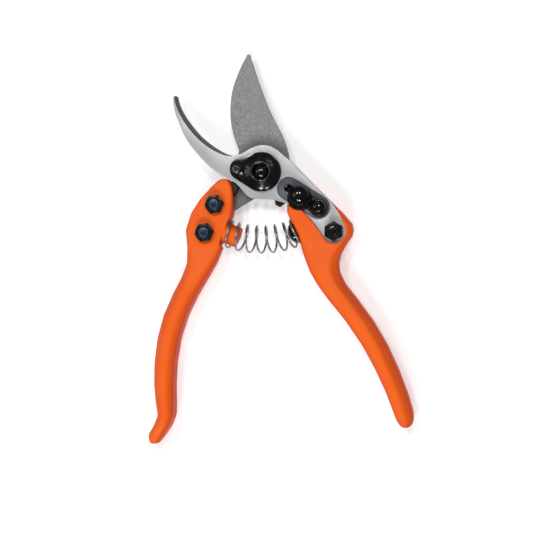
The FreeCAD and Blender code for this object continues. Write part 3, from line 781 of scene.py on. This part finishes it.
def cast(node: str, name: str, grid: float, rounds: int, grip_rounds: int,
         grip_from: tuple[float, float]) -> bpy.types.Object:
    """Finish a cast and coated solid: its whole skin is rebuilt on a fine grid and relaxed.

    Args:
        node: The solid's node.
        name: The new piece's name.
        grid: The grid's size, in metres.
        rounds: How many times the skin is relaxed.
        grip_rounds: How many more times the grip is.
        grip_from: The lengthwise places where the grip's rounding starts and is full.

    Returns:
        The finished piece.
    """
    piece = merged_copy(node, name)
    remesh = piece.modifiers.new("skin", "REMESH")
    remesh.mode = "VOXEL"
    remesh.voxel_size = grid
    remesh.adaptivity = 0.0
    relax = piece.modifiers.new("relaxed", "SMOOTH")
    relax.factor = 0.5
    relax.iterations = rounds
    settle(piece)
    start, full = grip_from
    grip = piece.vertex_groups.new(name="grip")
    for vertex in piece.data.vertices:
        share = min(max((start - vertex.co.y) / (start - full), 0.0), 1.0)
        if share > 0.0:
            grip.add([vertex.index], share, "REPLACE")
    rounding = piece.modifiers.new("rounded_grip", "SMOOTH")
    rounding.factor = 0.5
    rounding.iterations = grip_rounds
    rounding.vertex_group = grip.name
    settle(piece)
    piece.vertex_groups.clear()
    shade(piece, ALL_SMOOTH_DEGREES)
    return piece


@dataclass
class Piece:
    """One finished piece and how it is joined to the model."""

    item: bpy.types.Object
    body: Body
    slot: Slot
    material: bpy.types.Material
    stands_for: Sequence[str] = ()

    def join(self) -> bpy.types.Object:
        """Dress the piece and hand it to the frame.

        Returns:
            The piece's object.
        """
        self.item.data.materials.clear()
        self.item.data.materials.append(self.material)
        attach(self.item, self.body.value)
        if self.stands_for:
            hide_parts(*self.stands_for)
        LOG.info("%s: %d faces on %s", self.item.name, len(self.item.data.polygons),
                 self.body.value)
        return self.item


@dataclass
class MachinedPart:
    """A machined solid and the finish it gets."""

    node: str
    body: Body
    slot: Slot
    material: bpy.types.Material
    edge: float = 0.2 * MM

    def make(self) -> bpy.types.Object:
        """Finish the solid and join it."""
        piece = machined(self.node, f"{self.node}_finished", self.edge)
        return Piece(piece, self.body, self.slot, self.material, (self.node,)).join()


# ---------------------------------------------------------------------------------------------
# Geometry Nodes
# ---------------------------------------------------------------------------------------------
class Recipe:
    """A Geometry Nodes tree with named inputs, run once on an empty mesh."""

    def __init__(self, name: str, inputs: Sequence[tuple[str, str, object]]) -> None:
        """Make the tree and its sockets.

        Args:
            name: The tree's name.
            inputs: Name, socket type and value of each input.
        """
        self.name = name
        self.tree = bpy.data.node_groups.new(name, "GeometryNodeTree")
        self.values = {}
        for label, kind, value in inputs:
            item = self.tree.interface.new_socket(name=label, in_out="INPUT", socket_type=kind)
            self.values[item.identifier] = value
        self.tree.interface.new_socket(name="Geometry", in_out="OUTPUT",
                                       socket_type="NodeSocketGeometry")
        self.graph = Graph(self.tree)
        self.given = self.graph.add("NodeGroupInput").outputs
        self.result = self.graph.add("NodeGroupOutput")

    def finish(self, geometry: bpy.types.NodeSocket, material: bpy.types.Material) -> None:
        """End the tree: realise what is instanced and set the material.

        Args:
            geometry: The made shape.
            material: Its material.
        """
        real = self.graph.add("GeometryNodeRealizeInstances", Geometry=geometry)
        dressed = self.graph.add("GeometryNodeSetMaterial", Geometry=real.outputs[0],
                                 Material=material)
        self.graph.plug(self.result, "Geometry", dressed.outputs[0])

    def run(self, name: str) -> bpy.types.Object:
        """Run the tree into a plain mesh.

        Args:
            name: The new piece's name.

        Returns:
            The piece.
        """
        piece = new_object(name, bpy.data.meshes.new(name))
        modifier = piece.modifiers.new(self.name, "NODES")
        modifier.node_group = self.tree
        for identifier, value in self.values.items():
            modifier[identifier] = value
        return settle(piece)


@dataclass
class ReturnSpring:
    """Bowed coil between the handles; its end turns lie closer together."""

    finishes: Finishes
    turns: float = 8.0
    coil_radius: float = 7.65 * MM
    wire_radius: float = 0.62 * MM
    bow_radius: float = 54.1 * MM
    bow_centre: tuple[float, float] = (-1.15 * MM, 15.6 * MM)
    half_angle: float = math.radians(22.9)
    level: float = 9.0 * MM
    middle_pitch: float = 1.12
    end_closing: float = 4.0
    steps: int = 420
    wire_sides: int = 12
    slip: float = 1.35

    def recipe(self) -> Recipe:
        """Write the coil's rule as a tree.

        Returns:
            The recipe.
        """
        number = "NodeSocketFloat"
        made = Recipe("bowed_coil", [
            ("Turns", number, self.turns), ("Coil Radius", number, self.coil_radius),
            ("Wire Radius", number, self.wire_radius), ("Bow Radius", number, self.bow_radius),
            ("Half Angle", number, self.half_angle), ("Middle Pitch", number, self.middle_pitch),
            ("Along", number, self.bow_centre[0]), ("Up", number, self.bow_centre[1]),
            ("Level", number, self.level), ("Steps", "NodeSocketInt", self.steps)])
        graph, given = made.graph, made.given
        rail = graph.add("GeometryNodeCurvePrimitiveLine")
        fine = graph.add("GeometryNodeResampleCurve", Curve=rail.outputs[0], Count=given["Steps"])
        share = graph.add("GeometryNodeSplineParameter").outputs["Factor"]
        centred = graph.math("MULTIPLY_ADD", share, 2.0, -1.0)
        closing = graph.math("MULTIPLY", graph.math("SUBTRACT", 1.0, given["Middle Pitch"]),
                             graph.math("POWER", graph.math("ABSOLUTE", centred),
                                        self.end_closing))
        pitch = graph.math("MULTIPLY", centred,
                           graph.math("ADD", given["Middle Pitch"], closing))
        bow = graph.math("MULTIPLY", pitch, given["Half Angle"])
        turn = graph.math("MULTIPLY", share,
                          graph.math("MULTIPLY", given["Turns"], -2.0 * math.pi))
        outward = graph.math("MULTIPLY_ADD", graph.math("COSINE", turn), given["Coil Radius"],
                             given["Bow Radius"])
        x = graph.math("MULTIPLY_ADD", graph.math("SINE", bow), outward, given["Along"])
        y = graph.math("SUBTRACT", given["Up"],
                       graph.math("MULTIPLY", graph.math("COSINE", bow), outward))
        z = graph.math("MULTIPLY_ADD", graph.math("SINE", turn), given["Coil Radius"],
                       given["Level"])
        place = graph.add("ShaderNodeCombineXYZ", X=x, Y=y, Z=z)
        coil = graph.add("GeometryNodeSetPosition", Geometry=fine.outputs[0],
                         Position=place.outputs[0])
        ring = graph.add("GeometryNodeCurvePrimitiveCircle", Resolution=self.wire_sides,
                         Radius=given["Wire Radius"])
        wire = graph.add("GeometryNodeCurveToMesh", Curve=coil.outputs[0],
                         Profile_Curve=ring.outputs[0], Fill_Caps=True)
        made.finish(wire.outputs[0], self.finishes.wire)
        return made

    def build(self) -> None:
        """Make the coil in place and hide the imported spring."""
        piece = self.recipe().run("return_spring_coil")
        shade(piece, COIL_DEGREES)
        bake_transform(piece)
        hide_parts("return_spring")
        LOG.info("%s: %d faces, bends between the handles", piece.name, len(piece.data.polygons))


@dataclass
class RingRow:
    """Round lips of one size, set at even steps from one place to another."""

    name: str
    start: Vector
    end: Vector
    count: int
    radius: float
    thickness: float
    ring_sides: int = 48
    lip_sides: int = 10

    def recipe(self, material: bpy.types.Material) -> Recipe:
        """Write the row's rule as a tree.

        Args:
            material: The rings' material.

        Returns:
            The recipe.
        """
        number = "NodeSocketFloat"
        made = Recipe(f"{self.name}_row", [
            ("Start", "NodeSocketVector", tuple(self.start)),
            ("End", "NodeSocketVector", tuple(self.end)),
            ("Count", "NodeSocketInt", self.count), ("Ring Radius", number, self.radius),
            ("Lip Radius", number, self.thickness)])
        graph, given = made.graph, made.given
        row = graph.add("GeometryNodeMeshLine", {"mode": "END_POINTS"}, Count=given["Count"],
                        Start_Location=given["Start"], Offset=given["End"])
        hoop = graph.add("GeometryNodeCurvePrimitiveCircle", Resolution=self.ring_sides,
                         Radius=given["Ring Radius"])
        section = graph.add("GeometryNodeCurvePrimitiveCircle", Resolution=self.lip_sides,
                            Radius=given["Lip Radius"])
        ring = graph.add("GeometryNodeCurveToMesh", Curve=hoop.outputs[0],
                         Profile_Curve=section.outputs[0])
        spread = graph.add("GeometryNodeInstanceOnPoints", Points=row.outputs[0],
                           Instance=ring.outputs[0])
        made.finish(spread.outputs[0], material)
        return made

    def join(self, body: Body, slot: Slot, material: bpy.types.Material) -> None:
        """Make the row and hand it to the frame.

        Args:
            body: The body it moves with.
            slot: The record's slot of its finish; not used.
            material: Its material.
        """
        piece = self.recipe(material).run(self.name)
        shade(piece, ALL_SMOOTH_DEGREES)
        Piece(piece, body, slot, material).join()


def crown(node: str, lift: float) -> Vector:
    """The middle of a node's top.

    Args:
        node: The node.
        lift: How far above its top the point lies, in metres.

    Returns:
        The point.
    """
    low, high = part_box(node)
    return Vector(((low.x + high.x) / 2, (low.y + high.y) / 2, high.z + lift))


# ---------------------------------------------------------------------------------------------
# Sub-assemblies
# ---------------------------------------------------------------------------------------------
@dataclass
class Handles:
    """The two coated handles."""

    finishes: Finishes
    grid: float = 0.45 * MM
    rounds: int = 7
    grip_rounds: int = 70
    grip_from: tuple[float, float] = (-38.0 * MM, -62.0 * MM)

    def build(self) -> None:
        """Rebuild both skins and dress them."""
        for node, body in (("blade_handle", Body.BLADE), ("hook_handle", Body.HOOK)):
            piece = cast(node, f"{node}_coated", self.grid, self.rounds, self.grip_rounds,
                         self.grip_from)
            Piece(piece, body, Slot.ORANGE, self.finishes.orange, (node,)).join()


@dataclass
class Jaws:
    """Cutting blade and hooked counter-blade."""

    finishes: Finishes
    counter_edge: float = 0.45 * MM
    blade_edge: float = 0.18 * MM

    def build(self) -> None:
        """Ease the plates' edges and dress them."""
        MachinedPart("counter_blade", Body.HOOK, Slot.STEEL, self.finishes.counter,
                     self.counter_edge).make()
        MachinedPart("cutting_blade", Body.BLADE, Slot.BLADE_STEEL, self.finishes.blade,
                     self.blade_edge).make()


@dataclass
class PivotStack:
    """Bolt, washer, lock plate, small screw and dished nut."""

    finishes: Finishes
    lip_lift: float = -0.08 * MM
    rim_lift: float = -0.22 * MM

    def build(self) -> None:
        """Finish each piece of the stack."""
        black = self.finishes.black
        MachinedPart("pivot_bolt", Body.HOOK, Slot.BLACK_STEEL, black, edge=0.25 * MM).make()
        MachinedPart("pivot_washer", Body.HOOK, Slot.STEEL, self.finishes.washer).make()
        MachinedPart("lock_plate", Body.HOOK, Slot.BLACK_STEEL, black, edge=0.4 * MM).make()
        MachinedPart("pivot_nut", Body.HOOK, Slot.BLACK_STEEL, black, edge=0.15 * MM).make()
        MachinedPart("lock_plate_screw", Body.HOOK, Slot.BRIGHT, self.finishes.small_screw,
                     edge=0.08 * MM).make()
        # The grey ring in the nut's dish is a painted highlight on its inner edge.
        lip = crown("pivot_nut", self.lip_lift)
        RingRow("pivot_dish_highlight_ring", lip, lip, count=1, radius=5.45 * MM,
                thickness=0.16 * MM).join(Body.HOOK, Slot.BLACK_STEEL, self.finishes.lip)
        rim = crown("lock_plate_screw", self.rim_lift)
        RingRow("lock_screw_rim", rim, rim, count=1, radius=1.75 * MM,
                thickness=0.25 * MM).join(Body.HOOK, Slot.BRIGHT, self.finishes.screw_rim)


@dataclass
class Fixings:
    """Bolts, nuts and the domed screw that hold the handles."""

    finishes: Finishes
    thread_radius: float = 2.15 * MM
    crest: float = 0.24 * MM
    crest_lift: float = -0.10 * MM
    edge: float = 0.15 * MM
    parts: dict[str, Body] = field(default_factory=lambda: {
        "upper_blade_bolt": Body.BLADE, "upper_blade_nut": Body.BLADE,
        "lower_blade_bolt": Body.BLADE, "lower_blade_nut": Body.BLADE,
        "tail_bolt": Body.HOOK, "tail_nut": Body.HOOK,
        "tang_screw": Body.HOOK, "tang_screw_nut": Body.HOOK})

    def build(self) -> None:
        """Finish each fixing; the blade handle's bolts have ends with a painted blue reflection.
        """
        for node, body in self.parts.items():
            # The blade handle's bolts get ends with a painted blue reflection.
            blue_painted_light = node.endswith("_blade_bolt")
            material = self.finishes.thread if blue_painted_light else self.finishes.nuts
            if node == "tang_screw":
                material = self.finishes.black
            if node in ("tail_nut", "tail_bolt"):
                material = self.finishes.scarred
            MachinedPart(node, body, Slot.BLACK_STEEL, material, self.edge).make()
        self._thread_ends()

    def _thread_ends(self) -> None:
        """Set a thread crest on the end of each bolt, with a painted blue highlight on the blade
        handle's.
        """
        upper, lower, tail = (crown(node, self.crest_lift) for node in (
            "upper_blade_bolt", "lower_blade_bolt", "tail_bolt"))
        # The blade handle's crests carry a painted blue highlight.
        for name, start, end, count, body, finish in (
                ("handle_bolt_crests", upper, lower, 2, Body.BLADE, self.finishes.blue_painted_light),
                ("tail_bolt_crest", tail, tail, 1, Body.HOOK, self.finishes.scarred)):
            RingRow(name, start, end, count, self.thread_radius, self.crest).join(
                body, Slot.BLACK_STEEL, finish)


@dataclass
class ThumbCatch:
    """Sliding button, stem, pawl and leaf."""

    finishes: Finishes

    def build(self) -> None:
        """Finish each piece of the catch."""
        MachinedPart("thumb_button", Body.CATCH, Slot.PLASTIC, self.finishes.moulded,
                     edge=0.25 * MM).make()
        for node in ("catch_stem", "catch_pawl"):
            MachinedPart(node, Body.CATCH, Slot.BLACK_STEEL, self.finishes.hidden_black).make()
        MachinedPart("catch_leaf_spring", Body.HOOK, Slot.BLACK_STEEL, self.finishes.nuts,
                     edge=0.08 * MM).make()


@dataclass
class StopsAndSeat:
    """Rubber stops and the domed spring seat."""

    finishes: Finishes
    edge: float = 0.3 * MM

    def build(self) -> None:
        """Finish the two stops and the seat."""
        # Painted shade: the opening stop pad is a real stop, and its black also fills the gap
        # between handle head and counter-blade, where there is only shade.
        for node, body in (("closing_bumper", Body.HOOK), ("opening_stop_pad", Body.BLADE)):
            MachinedPart(node, body, Slot.RUBBER, self.finishes.rubber, self.edge).make()
        MachinedPart("spring_seat", Body.HOOK, Slot.PLASTIC, self.finishes.moulded,
                     self.edge).make()


# ---------------------------------------------------------------------------------------------
# Table, lights and camera
# ---------------------------------------------------------------------------------------------
@dataclass
class Studio:
    """A pale table top under soft light, seen from nearly overhead."""

    target: Vector = field(default_factory=lambda: Vector((1.85, -53.9, 9.0)) * MM)
    lean: float = math.radians(11.0)
    distance: float = 1.1
    lens: float = 130.0
    floor_span: float = 6.0
    floor_tone: float = 0.62
    floor_glow: float = 0.46
    horizon: float = 0.12
    zenith: float = 0.17
    lamp_side: float = 0.17
    lamp_power: float = 4.3
    lamp_places: dict[str, Triple] = field(default_factory=lambda: {
        "upper_left_lamp": (-0.30, 0.40, 1.10), "upper_right_lamp": (0.22, 0.45, 1.10),
        "lower_left_lamp": (-0.22, -0.95, 0.85), "lower_right_lamp": (0.16, -1.00, 0.80)})
    panel_place: Triple = (-1.0, 0.1, 1.0)
    panel_side: float = 0.6
    panel_power: float = 2.0
    floor_level: float = -0.05 * MM
    floor_mottle: float = 0.01
    sensor: float = 36.0
    view_reach: float = 20.0

    def build(self) -> None:
        """Make the floor, the lights and the camera."""
        self._floor()
        self._surround()
        self._lights()
        self._camera()

    def _floor(self) -> None:
        """Lay the faintly lit table top just under the tool."""
        half = self.floor_span / 2
        mesh = bpy.data.meshes.new("table_top")
        corners = [(-half, -half), (half, -half), (half, half), (-half, half)]
        mesh.from_pydata([(x, y, self.floor_level) for x, y in corners], [], [(0, 1, 2, 3)])
        floor = new_object("table_top", mesh)
        material, graph, shader = new_material("pale_table")
        place = graph.add("ShaderNodeTexCoord")
        noise = graph.add("ShaderNodeTexNoise", Vector=place.outputs["Object"], Scale=3.0)
        tone = graph.blend(noise.outputs["Fac"], rgba((self.floor_tone,) * 3),
                           rgba((self.floor_tone + self.floor_mottle,) * 3))
        graph.plug(shader, "Base Color", tone)
        shader.inputs["Emission Color"].default_value = (1.0, 1.0, 1.0, 1.0)
        shader.inputs["Emission Strength"].default_value = self.floor_glow
        shader.inputs["Roughness"].default_value = 0.95
        shader.inputs["Specular IOR Level"].default_value = 0.0
        mesh.materials.append(material)

    def _surround(self) -> None:
        """Light the room from its ceiling, with dimmer walls."""
        world = bpy.data.worlds.new("surround")
        world.use_nodes = True
        graph = Graph(world.node_tree)
        background = world.node_tree.nodes["Background"]
        heading = graph.add("ShaderNodeTexCoord")
        split = graph.add("ShaderNodeSeparateXYZ", Vector=heading.outputs["Generated"])
        graph.plug(background, "Strength",
                   graph.span(split.outputs["Z"], 0.0, 0.9, self.horizon, self.zenith))
        background.inputs["Color"].default_value = (1.0, 1.0, 1.0, 1.0)
        bpy.context.scene.world = world

    def _lights(self) -> None:
        """Hang one soft panel to the left and four small lamps above and below the tool."""
        hung = [("left_panel", self.panel_place, self.panel_side, self.panel_power)]
        for name, place in self.lamp_places.items():
            hung.append((name, place, self.lamp_side, self.lamp_power))
        for name, place, side, power in hung:
            data = bpy.data.lights.new(name, "AREA")
            data.shape = "SQUARE"
            data.size = side
            data.energy = power
            lamp = bpy.data.objects.new(name, data)
            bpy.context.scene.collection.objects.link(lamp)
            lamp.location = place
            aim = (self.target - Vector(place)).to_track_quat("-Z", "Y")
            lamp.rotation_euler = aim.to_euler()

    def _camera(self) -> None:
        """Stand the camera over the tool, leaning to the hook's handle side."""
        data = bpy.data.cameras.new("camera")
        data.lens = self.lens
        data.sensor_width = self.sensor
        data.clip_end = self.view_reach
        camera = bpy.data.objects.new("camera", data)
        bpy.context.scene.collection.objects.link(camera)
        back = Vector((math.sin(self.lean), 0.0, math.cos(self.lean)))
        right = Vector((math.cos(self.lean), 0.0, -math.sin(self.lean)))
        up = back.cross(right)
        turn = Matrix((right, up, back)).transposed().to_4x4()
        camera.matrix_world = Matrix.Translation(self.target + back * self.distance) @ turn
        bpy.context.scene.camera = camera


def colour_management() -> None:
    """Show colours as they are set, with the Standard view and no look."""
    bpy.context.scene.view_settings.view_transform = "Standard"
    bpy.context.scene.view_settings.look = "None"


def main() -> None:
    """Build every sub-assembly and the studio in order."""
    logging.basicConfig(level=logging.INFO, format="%(message)s")
    finishes = Finishes()
    makers: Sequence[Callable[[Finishes], object]] = (
        Handles, Jaws, PivotStack, Fixings, ThumbCatch, StopsAndSeat, ReturnSpring)
    for maker in makers:
        maker(finishes).build()
    Studio().build()
    colour_management()


if __name__ == "__main__":
    main()
